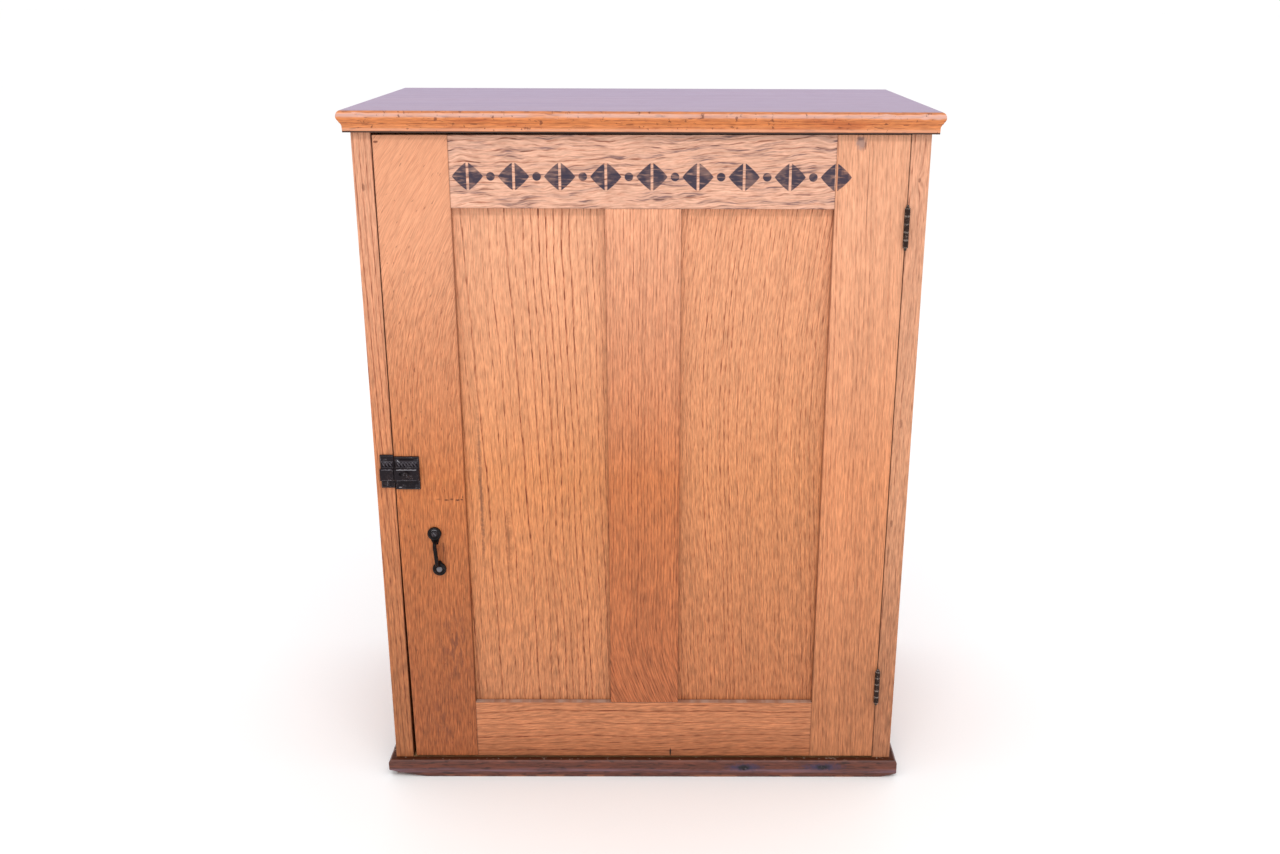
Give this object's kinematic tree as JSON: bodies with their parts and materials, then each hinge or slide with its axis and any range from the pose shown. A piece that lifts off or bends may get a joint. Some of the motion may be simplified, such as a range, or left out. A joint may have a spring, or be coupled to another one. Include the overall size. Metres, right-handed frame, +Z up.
{
  "type": "icebox",
  "caption": "Oak icebox cabinet with one full-height framed door on butt hinges, a sliding latch and a bar pull, cork walls, a zinc lining, an ice pan, wire shelves and a floor drain.",
  "frame": {"origin": "on the floor, in the middle of the bounding box; the box reaches from the pull to the back boards", "axes": "+X to the viewer's right, towards the hinges; +Y from the door to the back; +Z up"},
  "size_m": [0.7522, 0.431, 0.9523],
  "materials": {
    "oak": "aged varnished oak",
    "base_oak": "dark worn varnish",
    "pine": "bare sawn pine",
    "cork": "pressed cork slab",
    "zinc": "dull zinc sheet",
    "tinned_wire": "tinned wire",
    "hinge_iron": "dark browned iron",
    "black_iron": "blackened cast iron",
    "felt": "grey-brown felt strip"
  },
  "bodies": {
    "case": {"top_board": "oak", "left_front_stile": "oak", "left_back_stile": "oak", "left_top_rail": "oak", "left_bottom_rail": "oak", "left_side_panel": "oak", "right_front_stile": "oak", "right_back_stile": "oak", "right_top_rail": "oak", "right_bottom_rail": "oak", "right_side_panel": "oak", "bottom_board": "pine", "base_mould_front": "base_oak", "base_mould_left": "base_oak", "base_mould_right": "base_oak", "back_boards": "pine", "base_nails": "hinge_iron", "breaker_strips": "oak", "insulation_left": "cork", "insulation_right": "cork", "insulation_back": "cork", "insulation_top": "cork", "insulation_bottom": "cork", "liner": "zinc", "shelf_cleats": "zinc", "ice_bearers": "oak", "ice_pan": "zinc", "ice_grate_battens": "oak", "ice_grate_slats": "oak", "drain_pipe": "zinc", "floor_drain": "zinc", "upper_wire_shelf": "tinned_wire", "lower_wire_shelf": "tinned_wire", "upper_hinge_case_leaf": "hinge_iron", "lower_hinge_case_leaf": "hinge_iron", "hinge_pins": "hinge_iron", "hinge_case_screws": "hinge_iron", "latch_keeper": "black_iron", "keeper_screws": "black_iron"},
    "door": {"door_left_stile": "oak", "door_right_stile": "oak", "door_top_rail": "oak", "door_bottom_rail": "oak", "door_muntin": "oak", "door_left_panel": "oak", "door_right_panel": "oak", "door_plug_frame": "pine", "door_core": "cork", "door_liner": "zinc", "door_gasket": "felt", "upper_hinge_door_leaf": "hinge_iron", "lower_hinge_door_leaf": "hinge_iron", "hinge_door_screws": "hinge_iron", "latch_case": "black_iron", "latch_screws": "black_iron", "pull_handle": "black_iron", "pull_screws": "black_iron"},
    "bolt": {"latch_bolt": "black_iron", "latch_knob": "black_iron", "latch_spring": "black_iron"}
  },
  "joints": [
    {"name": "door_swing", "type": "hinge", "parent": "case", "child": "door", "pos_m": [0.3366, -0.2031, 0.4775], "axis": [0, 0, 1], "range_deg": [0, 175]},
    {"name": "latch_slide", "type": "slide", "parent": "door", "child": "bolt", "axis": [-1, 0, 0], "range_m": [0, 0.007]}
  ]
}
